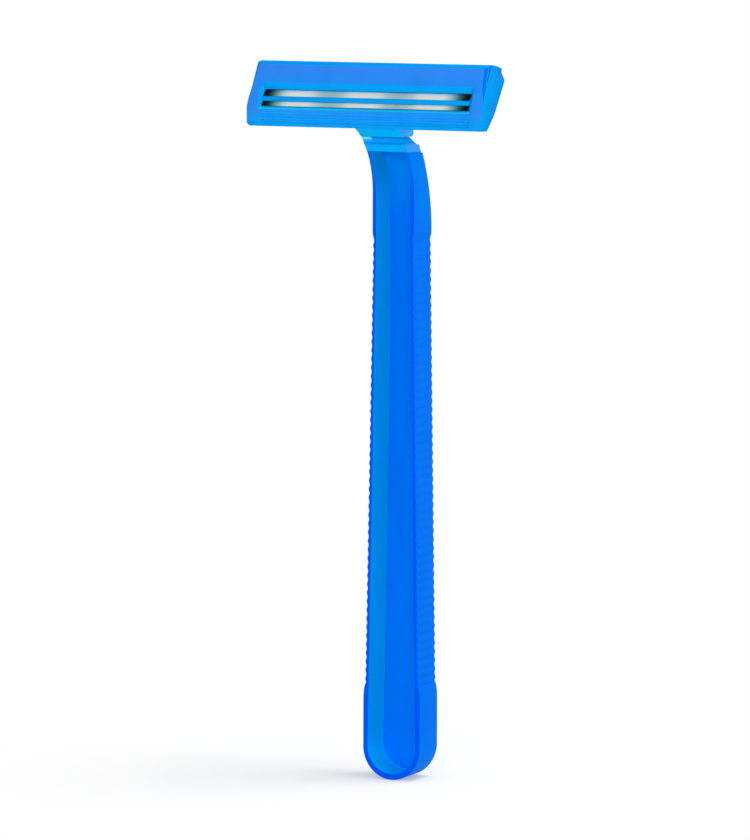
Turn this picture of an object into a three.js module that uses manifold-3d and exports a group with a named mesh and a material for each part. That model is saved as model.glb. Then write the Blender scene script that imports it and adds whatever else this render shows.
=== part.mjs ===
// A twin-blade disposable razor with a fixed head, standing upright on the end of its handle.
// Millimetres and degrees. +Z runs up the handle, -Y is the side that shaves, X runs along the blades.
import * as THREE from "three";
import { mergeVertices } from "three/addons/utils/BufferGeometryUtils.js";
import Module from "manifold-3d";

const wasm = await Module();
wasm.setup();

// Handle: a moulded channel, open to the front, with a rounded butt that stands proud of the grip
const HANDLE_DEPTH = 7.0;
const BACK_WALL = 0.55;
const GRIP_HALF_LOW = 4.86;
const GRIP_HALF_HIGH = 3.68;
const BUTT_HALF = 5.19;
const BUTT_WALL = 0.88;
const BUTT_SHOULDER = 2.8;
const BUTT_ROUND = 5.4;
const BUTT_END_WALL = 1.05;

// Grip: ribs moulded across both sides of the handle
const LOWEST_RIB = 16.7;
const RIB_PITCH = 1.4426;
const RIB_DEPTH = 0.16;
const GRIP_TO_BEND = 8.0;

// Neck: the handle bends forward, steps in at a shoulder and thins to a flat neck that ends in a tenon
const FRONT_BEND_START = 97.5;
const FRONT_BEND_RADIUS = 12.1;
const NECK_ANGLE = 51.5;
const NECK_PROUD = 0.1;
const NECK_THICKNESS = 1.75;
const NECK_WALL = 0.73;
const CHANNEL_RUNOUT = 7.0;
const FLOOR_BEND_LEAD = 31.5;
const FLOOR_BEND_RADIUS = 400;
const BACK_BEND_LEAD = 6.5;
const BACK_BEND_RADIUS = 25.4;
const BACK_BEND_ANGLE = 31.3;
const SHOULDER_STEP = 0.5;
const SHOULDER_LENGTH = 1.66;
const SHOULDER_LEDGE = 0.8;
const BAND_LENGTH = 1.8;
const BAND_PROUD = 0.1;
const TENON_LENGTH = 3.6;
const TENON_THICKNESS = 0.9;
const TENON_SIDE_SHOULDER = 1.4;
const TENON_FRONT_SHOULDER = 0.7;

// Head: where its top front corner lies from the end of the neck, and its outline seen from the end
const HEAD_REACH = 3.91;
const HEAD_RISE = 12.26;
const HEAD_HEIGHT = 10.57;
const HEAD_HALF_WIDTH = 21.1;
const HEAD_TOP_INSET = 0.3;
const HEAD_CORNER = 0.75;
const FACE_LEAN = 24.0;
const FACE_LENGTH = 8.02;
const TOP_FLAT = 1.5;
const CROWN_LIP_BACK = 5.15;
const CROWN_LIP_DROP = 0.85;
const CROWN_LIP_ROUND = 0.2;
const CROWN_LIP_PROUD = 0.13;
const CROWN_LIP_HEIGHT = 0.4;
const CROWN_FULLNESS = 0.55;
const CROWN_FALL = 0.15;
const REAR_REACH = 6.1;
const REAR_DROP = 2.65;
const REAR_ROUND = 0.35;
const REAR_TURN_LOW = -40;
const REAR_TURN_HIGH = 37;
const HEEL_BACK = 2.0;
const HEEL_BEND_BACK = 4.76;
const HEEL_BEND_RISE = 2.3;
const HEEL_CORNER = 0.1;
const TOE_ROUND = 0.75;

// Blades: two parallel strips under the cap, at an angle to the face, with a spacer between them
const BLADE_ANGLE = 22;
const BLADE_WIDTH = 5.4;
const BLADE_THICKNESS = 0.1;
const BLADE_BEVEL = 0.35;
const BLADE_EDGE_DROP = 0.03;
const LEADING_EDGE_SET = 0.17;
const EDGE_PITCH = 1.71;
const EDGE_DEPTH = 0.05;
const SPACER_BAR = 0.78;
const STACK_GAP = 0.05;

// Window: the opening in the face, with sloping sides
const END_CHEEK = 2.55;
const TRAILING_SHOW = 1.345;
const GUARD_LIP_SET = 0.32;
const RECESS_DEPTH = 0.5;
const RECESS_SLOPE = 0.93;
const RECESS_END_SLOPE = 0.5;
const RECESS_GUARD_SLOPE = 0.9;

// Cap: a wedge over the blades, with posts that go through the stack and are headed behind the seat
const CAP_BEVEL = 0.66;
const CAP_BEVEL_SET = 0.14;
const CAP_SEAM_TOP = 1.43;
const CAP_SEAM_SET = 0.15;
const CAP_END_INSET = 0.05;
const CAP_END_BEVEL = 0.6;
const CAP_END_BEVEL_LOW = 0.45;
const CAP_END_BEVEL_DEPTH = 0.35;
const POST_RADIUS = 0.6;
const POST_HOLE_CLEARANCE = 0.1;
const POST_FROM_REAR = 1.28;
const POST_HEAD_RADIUS = 1.0;
const POST_HEAD_HEIGHT = 0.5;

// Platform: the seat under the blades, a slot before it, and pockets that hollow its back
const SEAT_FLOOR = 1.2;
const SEAT_FRONT = 0.85;
const HAIR_SLOT = 0.5;
const HAIR_SLOT_DEPTH = 1.3;
const REAR_CLEARANCE = 0.15;
const POCKET_COUNT = 3;
const POCKET_RIB = 0.9;
const POCKET_FRONT_WALL = 1.0;
const POCKET_TOP_WALL = 1.4;

// Guard: fine grooves along the strip below the blades
const GROOVE_COUNT = 5;
const GROOVE_PITCH = 0.45;
const GROOVE_WIDTH = 0.18;
const GROOVE_DEPTH = 0.12;
const GROOVE_FIRST = 0.75;

// Collar: the socket behind the platform that takes the tenon
const COLLAR_GAP = 0.05;
const COLLAR_LIP = 1.45;
const COLLAR_LIP_ROUND = 0.7;
const COLLAR_RISE = 1.9;
const COLLAR_FRONT_ANGLE = 75;
const COLLAR_ROOT = 1.2;
const COLLAR_FOOT = 1.0;
const TENON_CLEARANCE = 0.08;

// Fineness of the round stretches, and how far a cutting solid runs past what it cuts
const RIB_STEPS = 4;
const ARC_STEPS = 12;
const SMALL_ARC_STEPS = 6;
const POST_SIDES = 16;
const BEYOND = 30;

const radians = THREE.MathUtils.degToRad;
const degrees = THREE.MathUtils.radToDeg;

// Solids and outlines

function solidOf(geometry) {
  const bare = geometry.clone();
  bare.deleteAttribute("normal");
  bare.deleteAttribute("uv");
  const merged = mergeVertices(bare);
  const mesh = new wasm.Mesh({
    numProp: 3,
    vertProperties: merged.attributes.position.array,
    triVerts: new Uint32Array(merged.index.array),
  });
  return new wasm.Manifold(mesh);
}

function geometryOf(solid) {
  const mesh = solid.getMesh();
  const geometry = new THREE.BufferGeometry();
  geometry.setAttribute("position", new THREE.BufferAttribute(mesh.vertProperties, 3));
  geometry.setIndex(new THREE.BufferAttribute(mesh.triVerts, 1));
  geometry.computeVertexNormals();
  return geometry;
}

const ALONG_X = new THREE.Vector3(1, 0, 0);
const ALONG_Y = new THREE.Vector3(0, 1, 0);
const ALONG_Z = new THREE.Vector3(0, 0, 1);

// A flat outline of [a, b] points, extruded, with a, b and the depth turned onto the given axes.
function prism(outline, depth, axisA, axisB, start) {
  const shape = new THREE.Shape(outline.map(([a, b]) => new THREE.Vector2(a, b)));
  const geometry = new THREE.ExtrudeGeometry(shape, { depth, bevelEnabled: false, steps: 1 });
  const turn = new THREE.Matrix4().makeBasis(axisA, axisB, axisA.clone().cross(axisB));
  geometry.applyMatrix4(turn.setPosition(start));
  return solidOf(geometry);
}

// An outline of [y, z] points, solid from x = low to x = high.
function acrossPrism(outline, low, high) {
  return prism(outline, high - low, ALONG_Y, ALONG_Z, new THREE.Vector3(low, 0, 0));
}

// An outline of [x, z] points, solid right through from front to back.
function throughPrism(outline) {
  return prism(outline, 2 * BEYOND, ALONG_X, ALONG_Z, new THREE.Vector3(0, BEYOND, 0));
}

// A solid through rings of as many points, the first ring turning clockwise seen from outside.
function throughRings(...rings) {
  const count = rings[0].length;
  const last = (rings.length - 1) * count;
  const index = [];
  for (let start = 0; start < last; start += count) {
    for (let i = 0; i < count; i += 1) {
      const near = start + i;
      const next = start + ((i + 1) % count);
      index.push(near, next, near + count, next, next + count, near + count);
    }
  }
  for (let i = 1; i < count - 1; i += 1) {
    index.push(0, i + 1, i, last, last + i, last + i + 1);
  }
  const geometry = new THREE.BufferGeometry();
  geometry.setAttribute("position", new THREE.Float32BufferAttribute(rings.flat(2), 3));
  geometry.setIndex(index);
  return solidOf(geometry);
}

function arc([a, b], radius, from, to, steps = ARC_STEPS) {
  const points = [];
  for (let i = 0; i <= steps; i += 1) {
    const angle = radians(from + ((to - from) * i) / steps);
    points.push([a + radius * Math.cos(angle), b + radius * Math.sin(angle)]);
  }
  return points;
}

// A quarter of an ellipse: between the given angles, stretched to its two half sizes.
function ellipseArc([a, b], halfA, halfB, from, to) {
  return arc([0, 0], 1, from, to).map(([u, v]) => [a + halfA * u, b + halfB * v]);
}

function sum(point, ...moves) {
  return moves.reduce(([a, b], [length, [da, db]]) => [a + length * da, b + length * db], point);
}

// A right-hand outline and its mirror image, closed into one, without repeating a point on the axis.
function symmetric(right) {
  const left = right.filter(([x]) => x > 1e-9).map(([x, z]) => [-x, z]);
  return [...right, ...left.reverse()];
}

function plastic(color, roughness) {
  return new THREE.MeshStandardMaterial({ color, roughness, metalness: 0 });
}

function steel() {
  return new THREE.MeshStandardMaterial({ color: 0xc9cfd0, roughness: 0.22, metalness: 1 });
}

function part(name, solid, material) {
  const mesh = new THREE.Mesh(geometryOf(solid), material);
  mesh.name = name;
  return mesh;
}

// Handle seen from the front, as [x, z] points

const gripTop = FRONT_BEND_START - GRIP_TO_BEND;
const ribCount = Math.floor((gripTop - LOWEST_RIB) / RIB_PITCH) + 1;
const highestRib = LOWEST_RIB + (ribCount - 1) * RIB_PITCH;
const lowestValley = LOWEST_RIB - RIB_PITCH / 2;
const highestValley = highestRib + RIB_PITCH / 2;
const channelTop = FRONT_BEND_START + CHANNEL_RUNOUT;
const neckHalf = GRIP_HALF_HIGH + NECK_PROUD;

// Half the width over the rib crests, a straight taper through the lowest rib and the highest.
function gripHalf(z) {
  const share = (z - LOWEST_RIB) / (highestRib - LOWEST_RIB);
  return GRIP_HALF_LOW + (GRIP_HALF_HIGH - GRIP_HALF_LOW) * share;
}

function handleFrontOutline() {
  const buttTop = lowestValley - BUTT_SHOULDER;
  const valleyHalf = gripHalf(lowestValley) - RIB_DEPTH;
  const right = [
    ...ellipseArc([0, BUTT_ROUND], BUTT_HALF, BUTT_ROUND, -90, 0),
    ...ellipseArc([valleyHalf, buttTop], BUTT_HALF - valleyHalf, BUTT_SHOULDER, 0, 90),
  ];
  for (let i = 1; i < ribCount * RIB_STEPS; i += 1) {
    const z = lowestValley + (i * RIB_PITCH) / RIB_STEPS;
    const rise = (1 - Math.cos((2 * Math.PI * i) / RIB_STEPS)) / 2;
    right.push([gripHalf(z) - RIB_DEPTH * (1 - rise), z]);
  }
  right.push([gripHalf(highestValley) - RIB_DEPTH, highestValley]);
  right.push([neckHalf, highestValley + RIB_PITCH], [neckHalf, channelTop + BEYOND]);
  return symmetric(right);
}

function channelFrontOutline() {
  const topHalf = neckHalf - NECK_WALL;
  return symmetric([
    ...ellipseArc([0, BUTT_ROUND], BUTT_HALF - BUTT_WALL, BUTT_ROUND - BUTT_END_WALL, -90, 0),
    [topHalf, highestValley],
    [topHalf, channelTop],
  ]);
}

// Handle seen from the side, as [y, z] points

const frontBend = [-FRONT_BEND_RADIUS, FRONT_BEND_START];
const backBend = [HANDLE_DEPTH - BACK_BEND_RADIUS, FRONT_BEND_START - BACK_BEND_LEAD];
const neckAlong = [-Math.sin(radians(NECK_ANGLE)), Math.cos(radians(NECK_ANGLE))];
const neckInward = [neckAlong[1], -neckAlong[0]];
const neckFrontLine = arc(frontBend, FRONT_BEND_RADIUS, 0, NECK_ANGLE);
const neckEnd = neckFrontLine.at(-1);

// A point of the neck: along it from its end at the head, and in from its front face.
function neckPoint(along, inward) {
  return sum(neckEnd, [along, neckAlong], [inward, neckInward]);
}

// The end of the neck is cut level.
const neckEndBack = neckPoint(-NECK_THICKNESS * Math.tan(radians(NECK_ANGLE)), NECK_THICKNESS);

function handleSideOutline() {
  const turn = radians(BACK_BEND_ANGLE);
  const back = arc(backBend, BACK_BEND_RADIUS, 0, BACK_BEND_ANGLE);
  const shoulder = sum(back.at(-1), [-SHOULDER_STEP, [1, 0]]);
  const shoulderTop = sum(shoulder, [SHOULDER_LENGTH, [-Math.sin(turn), Math.cos(turn)]]);
  const neckRoot = sum(shoulderTop, [-SHOULDER_LEDGE, [1, 0]]);
  return [[0, -BEYOND], [HANDLE_DEPTH, -BEYOND], ...back, shoulder, shoulderTop, neckRoot, neckEndBack,
    ...neckFrontLine.toReversed()];
}

const channelTopAngle = degrees(Math.asin(CHANNEL_RUNOUT / FRONT_BEND_RADIUS));

// The channel's floor rises slowly towards the neck.
function channelFloorOutline() {
  const floor = HANDLE_DEPTH - BACK_WALL;
  const rise = degrees(Math.asin((FLOOR_BEND_LEAD + CHANNEL_RUNOUT) / FLOOR_BEND_RADIUS));
  const bend = [floor - FLOOR_BEND_RADIUS, FRONT_BEND_START - FLOOR_BEND_LEAD];
  return [[-BEYOND, -BEYOND], [floor, -BEYOND], ...arc(bend, FLOOR_BEND_RADIUS, 0, rise),
    [-BEYOND, channelTop]];
}

// In the bend the channel keeps a wall to the back of the handle, and its upper end slopes to the front.
function channelSideOutline() {
  const floor = arc(backBend, BACK_BEND_RADIUS - BACK_WALL, 0, BACK_BEND_ANGLE);
  const frontTop = arc(frontBend, FRONT_BEND_RADIUS, 0, channelTopAngle).at(-1);
  return [[-BEYOND, -BEYOND], [HANDLE_DEPTH - BACK_WALL, -BEYOND], ...floor, frontTop, [-BEYOND, channelTop]];
}

// The raised band across the front of the shoulder, just above the channel.
function bandOutline() {
  const high = channelTopAngle + degrees(BAND_LENGTH / FRONT_BEND_RADIUS);
  const front = arc(frontBend, FRONT_BEND_RADIUS - BAND_PROUD, channelTopAngle, high, SMALL_ARC_STEPS);
  const root = arc(frontBend, FRONT_BEND_RADIUS + NECK_THICKNESS / 2, high, channelTopAngle, SMALL_ARC_STEPS);
  return [...front, ...root];
}

// The tenon, or with a clearance its socket, rooted in the neck.
function tenonOutline(clearance) {
  const front = TENON_FRONT_SHOULDER - clearance;
  const back = TENON_FRONT_SHOULDER + TENON_THICKNESS + clearance;
  const reach = TENON_LENGTH + clearance;
  return [neckPoint(-NECK_THICKNESS, front), neckPoint(-NECK_THICKNESS, back), neckPoint(reach, back),
    neckPoint(reach, front)];
}

const tenonHalf = neckHalf - TENON_SIDE_SHOULDER;

function handle() {
  const outside = throughPrism(handleFrontOutline())
    .intersect(acrossPrism(handleSideOutline(), -BEYOND, BEYOND));
  const channel = throughPrism(channelFrontOutline())
    .intersect(acrossPrism(channelSideOutline(), -BEYOND, BEYOND))
    .intersect(acrossPrism(channelFloorOutline(), -BEYOND, BEYOND));
  const solid = outside
    .subtract(channel)
    .add(acrossPrism(bandOutline(), -neckHalf, neckHalf))
    .add(acrossPrism(tenonOutline(0), -tenonHalf, tenonHalf));
  return part("handle", solid, plastic(0x0070ee, 0.32));
}

// Head: face coordinates run down the face from its top front corner, and out of it

const corner = [neckEnd[0] - HEAD_REACH, neckEnd[1] + HEAD_RISE];
const headBottom = corner[1] - HEAD_HEIGHT;
const headRear = [corner[0] + REAR_REACH, corner[1] - REAR_DROP];
const faceDown = [-Math.sin(radians(FACE_LEAN)), -Math.cos(radians(FACE_LEAN))];
const faceOut = [faceDown[1], -faceDown[0]];

function facePoint(down, out) {
  return sum(corner, [down, faceDown], [out, faceOut]);
}

const toe = facePoint(FACE_LENGTH, 0);
const trailingEdge = FACE_LENGTH - LEADING_EDGE_SET - EDGE_PITCH;
const capLip = trailingEdge - TRAILING_SHOW;
const guardLip = FACE_LENGTH - GUARD_LIP_SET;

// Stack coordinates run back along the blades from the trailing blade's edge, and down through the stack

const stackEdge = facePoint(trailingEdge, -EDGE_DEPTH);
const stackTilt = radians(FACE_LEAN + BLADE_ANGLE);
const stackBack = [Math.sin(stackTilt), Math.cos(stackTilt)];
const stackDown = [stackBack[1], -stackBack[0]];

function stackPoint(back, down) {
  return sum(stackEdge, [back, stackBack], [down, stackDown]);
}

const bladeSin = Math.sin(radians(BLADE_ANGLE));
const bladeCos = Math.cos(radians(BLADE_ANGLE));
const leadingBack = -EDGE_PITCH * bladeCos;
const leadingDown = EDGE_PITCH * bladeSin;
const leadingRear = leadingBack + BLADE_WIDTH;
const spacerTop = BLADE_THICKNESS + STACK_GAP;
const spacerBottom = leadingDown - STACK_GAP;
const seatDown = leadingDown + BLADE_THICKNESS + STACK_GAP;
const floorDown = seatDown + SEAT_FLOOR;
const windowHalf = HEAD_HALF_WIDTH - END_CHEEK;
const stackHalf = windowHalf - STACK_GAP;

// The top of the head seen from its end: a crown that ends behind in a lip, over the slope to the rear.
function crownOutline() {
  const lip = [corner[0] + CROWN_LIP_BACK, corner[1] - CROWN_LIP_DROP];
  const brow = sum(lip, [CROWN_LIP_ROUND, [0, 1]]);
  const top = [corner[0] + TOP_FLAT, corner[1]];
  const crown = new THREE.QuadraticBezierCurve(
    new THREE.Vector2(...brow),
    new THREE.Vector2(top[0] + (brow[0] - top[0]) * CROWN_FULLNESS, top[1] - CROWN_FALL),
    new THREE.Vector2(...top),
  );
  return [
    [lip[0] - CROWN_LIP_PROUD, lip[1] - CROWN_LIP_HEIGHT],
    lip,
    ...crown.getPoints(SMALL_ARC_STEPS).map(({ x, y }) => [x, y]),
  ];
}

// The head seen from its end: a wedge, thick at the top and thin at the guard.
function headSideOutline() {
  const rearCentre = sum(headRear, [-REAR_ROUND, [1, 0]]);
  return [
    facePoint(CAP_BEVEL, 0),
    toe,
    ...arc([toe[0] + TOE_ROUND, headBottom + TOE_ROUND], TOE_ROUND, 180, 270, SMALL_ARC_STEPS),
    [toe[0] + HEEL_BACK, headBottom],
    [toe[0] + HEEL_BEND_BACK, headBottom + HEEL_BEND_RISE],
    ...arc(rearCentre, REAR_ROUND, REAR_TURN_LOW, REAR_TURN_HIGH, SMALL_ARC_STEPS),
    ...crownOutline(),
    [corner[0] + CAP_BEVEL_SET, corner[1]],
  ];
}

// The head seen from the front: narrower at the top, with its lower corners rounded.
function headFrontOutline(inset, round) {
  const half = HEAD_HALF_WIDTH - inset;
  const taper = HEAD_TOP_INSET / (corner[1] - toe[1]);
  return symmetric([
    ...arc([half - round, headBottom + round], round, -90, 0, SMALL_ARC_STEPS),
    [half, toe[1]],
    [half - HEAD_TOP_INSET - taper * BEYOND, corner[1] + BEYOND],
  ]);
}

// The ends of the head: the round of their lower corners shrinks from the guard to the heel.
function headEnds(inset) {
  const ring = (y, round) => headFrontOutline(inset, round).map(([x, z]) => [x, y, z]);
  return throughRings(
    ring(BEYOND, HEEL_CORNER),
    ring(toe[0] + HEEL_BACK, HEEL_CORNER),
    ring(toe[0], HEAD_CORNER),
    ring(-BEYOND, HEAD_CORNER),
  );
}

// The seam between cap and platform at the ends of the head

const seamTop = [corner[0] + CAP_SEAM_TOP, corner[1]];
const seamFront = facePoint(capLip - CAP_SEAM_SET, 0);
const seamRun = [seamTop[0] - seamFront[0], seamTop[1] - seamFront[1]];

// Everything in front of the seam, moved back by a clearance.
function seamOutline(clearance) {
  const below = sum(seamFront, [-1, seamRun], [clearance, stackDown]);
  const above = sum(seamTop, [1, seamRun], [clearance, stackDown]);
  return [below, above, facePoint(-BEYOND, BEYOND), facePoint(BEYOND, BEYOND)];
}

// The cap's middle, between the ends of the blades, reaches down to the trailing blade.
function capMiddleOutline() {
  const lipBack = (TRAILING_SHOW - STACK_GAP * bladeSin) / bladeCos;
  return [stackPoint(lipBack, -STACK_GAP), stackPoint(BLADE_WIDTH, -STACK_GAP), seamTop,
    [seamTop[0], seamTop[1] + BEYOND], facePoint(-BEYOND, BEYOND), facePoint(capLip, BEYOND)];
}

// The room that the platform leaves for the blades, the spacer and the cap's middle.
function stackRoomOutline() {
  const stepBack = leadingRear + REAR_CLEARANCE;
  const rearBack = BLADE_WIDTH + REAR_CLEARANCE;
  const seam = seamTop[0] + STACK_GAP;
  return [stackPoint(-BEYOND, seatDown), stackPoint(stepBack, seatDown), stackPoint(stepBack, spacerTop),
    stackPoint(rearBack, spacerTop), stackPoint(rearBack, 0), [seam, seamTop[1]],
    [seam, seamTop[1] + BEYOND], facePoint(-BEYOND, BEYOND), facePoint(BEYOND, BEYOND)];
}

// The window's sloping sides, cut from the cap and the platform, run on out past the face.
function windowSlopes() {
  const ring = (steps) => {
    const half = windowHalf + steps * RECESS_END_SLOPE;
    const top = capLip - steps * RECESS_SLOPE;
    const bottom = guardLip + steps * RECESS_GUARD_SLOPE;
    const out = (steps - 1) * RECESS_DEPTH;
    return [[-half, top], [half, top], [half, bottom], [-half, bottom]]
      .map(([x, down]) => [x, ...facePoint(down, out)]);
  };
  return throughRings(ring(2), ring(0));
}

// Pockets in the back of the platform, as [low x, high x], with a post in each but the outermost

const pocketStart = neckHalf + POCKET_RIB;
const pocketPitch = (windowHalf - pocketStart) / POCKET_COUNT;
const rightPockets = Array.from({ length: POCKET_COUNT }, (_, i) => {
  const low = pocketStart + i * pocketPitch;
  return [low, low + pocketPitch - POCKET_RIB];
});
const bothSides = (places) => places.flatMap(([low, high]) => [[low, high], [-high, -low]]);
const posts = bothSides(rightPockets.slice(0, -1)).map(([low, high]) => (low + high) / 2);

// A round bar through the stack at a post, square to the blades.
function postBar(x, radius, from, to) {
  const geometry = new THREE.CylinderGeometry(radius, radius, to - from, POST_SIDES);
  const down = new THREE.Vector3(0, ...stackDown);
  geometry.applyQuaternion(new THREE.Quaternion().setFromUnitVectors(ALONG_Y, down));
  geometry.translate(x, ...stackPoint(leadingRear - POST_FROM_REAR, (from + to) / 2));
  return solidOf(geometry);
}

function withPostHoles(solid, from, to) {
  const radius = POST_RADIUS + POST_HOLE_CLEARANCE;
  return posts.reduce((left, x) => left.subtract(postBar(x, radius, from, to)), solid);
}

function withPosts(solid) {
  const root = -STACK_GAP - POST_RADIUS;
  const headFrom = floorDown + STACK_GAP;
  const headTo = headFrom + POST_HEAD_HEIGHT;
  return posts.reduce((made, x) => made
    .add(postBar(x, POST_RADIUS, root, headTo))
    .add(postBar(x, POST_HEAD_RADIUS, headFrom, headTo)), solid);
}

// The ends of the cap's face are bevelled, more at the top than at the lip.
function withEndBevels(solid) {
  const half = HEAD_HALF_WIDTH - CAP_END_INSET;
  const topHalf = half - HEAD_TOP_INSET;
  const plane = new THREE.Plane().setFromCoplanarPoints(
    new THREE.Vector3(half - CAP_END_BEVEL_LOW, ...facePoint(capLip, 0)),
    new THREE.Vector3(topHalf - CAP_END_BEVEL, ...facePoint(0, 0)),
    new THREE.Vector3(topHalf, ...facePoint(0, -CAP_END_BEVEL_DEPTH)),
  );
  const trim = (made) => made.trimByPlane(plane.normal.toArray(), -plane.constant);
  return trim(trim(solid).mirror([1, 0, 0]));
}

function cap() {
  const wedge = acrossPrism(seamOutline(0), -BEYOND, BEYOND);
  const middle = acrossPrism(capMiddleOutline(), -stackHalf, stackHalf);
  const shell = acrossPrism(headSideOutline(), -BEYOND, BEYOND)
    .intersect(wedge.add(middle))
    .intersect(headEnds(CAP_END_INSET))
    .subtract(windowSlopes());
  return part("cap", withPosts(withEndBevels(shell)), plastic(0x2a88f3, 0.3));
}

function blade(name, back, down) {
  const bottom = down + BLADE_THICKNESS;
  const outline = [stackPoint(back, down + BLADE_EDGE_DROP), stackPoint(back + BLADE_BEVEL, down),
    stackPoint(back + BLADE_WIDTH, down), stackPoint(back + BLADE_WIDTH, bottom),
    stackPoint(back + BLADE_BEVEL, bottom)];
  const strip = acrossPrism(outline, -stackHalf, stackHalf);
  return part(name, withPostHoles(strip, down - STACK_GAP, bottom + STACK_GAP), steel());
}

// The spacer's front edge shows as a bar between the two blades.
function spacer() {
  const barFoot = leadingBack + (EDGE_PITCH - SPACER_BAR) / bladeCos;
  const outline = [stackPoint(barFoot, spacerBottom), stackPoint(0, spacerTop),
    stackPoint(leadingRear, spacerTop), stackPoint(leadingRear, spacerBottom)];
  const strip = acrossPrism(outline, -stackHalf, stackHalf);
  return part("blade_spacer", withPostHoles(strip, 0, leadingDown), plastic(0x1098f0, 0.34));
}

function guardGroove(i) {
  const z = toe[1] - GROOVE_FIRST - i * GROOVE_PITCH;
  const outline = [[toe[0] - GROOVE_DEPTH, z - GROOVE_WIDTH], [toe[0] + GROOVE_DEPTH, z],
    [toe[0] - GROOVE_DEPTH, z + GROOVE_WIDTH]];
  return acrossPrism(outline, -windowHalf, windowHalf);
}

// The collar carries the neck's front on in its arc. Its lower face is level, and its lip stands out behind.
function collarOutline() {
  const bottom = neckEnd[1] + COLLAR_GAP;
  const lip = neckEndBack[0] + COLLAR_LIP;
  const lipCentre = [lip - COLLAR_LIP_ROUND, bottom + COLLAR_LIP_ROUND];
  const startAngle = degrees(Math.asin((bottom - FRONT_BEND_START) / FRONT_BEND_RADIUS));
  return [
    ...arc(lipCentre, COLLAR_LIP_ROUND, -90, 0, SMALL_ARC_STEPS),
    [lip, bottom + COLLAR_RISE],
    sum(headRear, [-COLLAR_ROOT, [1, 1]]),
    stackPoint(-COLLAR_FOOT, floorDown),
    ...arc(frontBend, FRONT_BEND_RADIUS, COLLAR_FRONT_ANGLE, startAngle, SMALL_ARC_STEPS),
  ];
}

// Box outlines in stack coordinates.
function stackBox(backLow, backHigh, downLow, downHigh) {
  return [stackPoint(backLow, downLow), stackPoint(backLow, downHigh), stackPoint(backHigh, downHigh),
    stackPoint(backHigh, downLow)];
}

function platform() {
  const hairSlot = stackBox(-SEAT_FRONT - HAIR_SLOT, -SEAT_FRONT, 0, seatDown + HAIR_SLOT_DEPTH);
  const rearBack = (headRear[0] - stackEdge[0]) * stackBack[0] + (headRear[1] - stackEdge[1]) * stackBack[1];
  const pocket = stackBox(-POCKET_FRONT_WALL, rearBack - POCKET_TOP_WALL, floorDown, BEYOND);
  const cuts = [
    acrossPrism(seamOutline(STACK_GAP), -BEYOND, BEYOND),
    acrossPrism(stackRoomOutline(), -windowHalf, windowHalf),
    acrossPrism(hairSlot, -windowHalf, windowHalf),
    windowSlopes(),
    ...bothSides(rightPockets).map(([low, high]) => acrossPrism(pocket, low, high)),
    ...Array.from({ length: GROOVE_COUNT }, (_, i) => guardGroove(i)),
  ];
  const body = acrossPrism(headSideOutline(), -BEYOND, BEYOND)
    .intersect(headEnds(0));
  const seat = withPostHoles(cuts.reduce((left, cut) => left.subtract(cut), body), 0, floorDown + SEAT_FLOOR);
  const socketHalf = tenonHalf + TENON_CLEARANCE;
  const solid = seat
    .add(acrossPrism(collarOutline(), -neckHalf, neckHalf))
    .subtract(acrossPrism(tenonOutline(TENON_CLEARANCE), -socketHalf, socketHalf));
  return part("platform", solid, plastic(0x1492f3, 0.3));
}

// Assembly: the origin is at the foot of the handle, under the middle of the razor's depth

const razor = new THREE.Group();
razor.add(
  handle(),
  platform(),
  blade("leading_blade", leadingBack, leadingDown),
  spacer(),
  blade("trailing_blade", 0, 0),
  cap(),
);
razor.position.y = -(toe[0] + HANDLE_DEPTH) / 2;

const assembly = new THREE.Group();
assembly.add(razor);

export default assembly;
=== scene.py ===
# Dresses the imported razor: fine meshes, moulded plastic and steel, a pale studio and the camera.
import math

import bmesh
import bpy
from mathutils import Matrix, Vector


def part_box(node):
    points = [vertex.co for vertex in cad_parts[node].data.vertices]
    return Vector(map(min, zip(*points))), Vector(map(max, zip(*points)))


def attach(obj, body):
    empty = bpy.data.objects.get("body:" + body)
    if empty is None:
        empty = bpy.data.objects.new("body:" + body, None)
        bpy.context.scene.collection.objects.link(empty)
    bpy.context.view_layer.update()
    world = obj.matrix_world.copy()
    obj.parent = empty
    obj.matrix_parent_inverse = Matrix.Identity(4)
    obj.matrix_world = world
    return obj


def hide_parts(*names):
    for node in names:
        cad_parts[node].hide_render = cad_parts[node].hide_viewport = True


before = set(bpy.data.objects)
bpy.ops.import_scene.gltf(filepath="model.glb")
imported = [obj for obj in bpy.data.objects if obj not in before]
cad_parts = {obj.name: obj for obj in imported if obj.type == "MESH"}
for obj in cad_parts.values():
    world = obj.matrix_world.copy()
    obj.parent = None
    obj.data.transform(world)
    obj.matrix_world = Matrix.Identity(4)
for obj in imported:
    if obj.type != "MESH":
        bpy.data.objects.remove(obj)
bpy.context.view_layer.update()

# Metres in a millimetre, and the distance in millimetres within which points become one
MM = 0.001
WELD = 0.0001

# The handle's sizes in millimetres, as in the part's source, with y = 0 at the plane of its rim
RIM_PLANE = 2.3698
HANDLE_DEPTH = 7.0
BACK_WALL = 0.55
GRIP_HALF_LOW = 4.86
GRIP_HALF_HIGH = 3.68
BUTT_HALF = 5.19
BUTT_WALL = 0.88
BUTT_SHOULDER = 2.8
BUTT_ROUND = 5.4
BUTT_END_WALL = 1.05
LOWEST_RIB = 16.7
RIB_PITCH = 1.4426
RIB_COUNT = 51
RIB_DEPTH = 0.16
FRONT_BEND_START = 97.5
FRONT_BEND_RADIUS = 12.1
NECK_ANGLE = 51.5
NECK_PROUD = 0.1
NECK_THICKNESS = 1.75
NECK_WALL = 0.73
CHANNEL_RUNOUT = 7.0
FLOOR_BEND_LEAD = 31.5
FLOOR_BEND_RADIUS = 400.0
BACK_BEND_LEAD = 6.5
BACK_BEND_RADIUS = 25.4
BACK_BEND_ANGLE = 31.3
SHOULDER_STEP = 0.5
SHOULDER_LENGTH = 1.66
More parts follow.
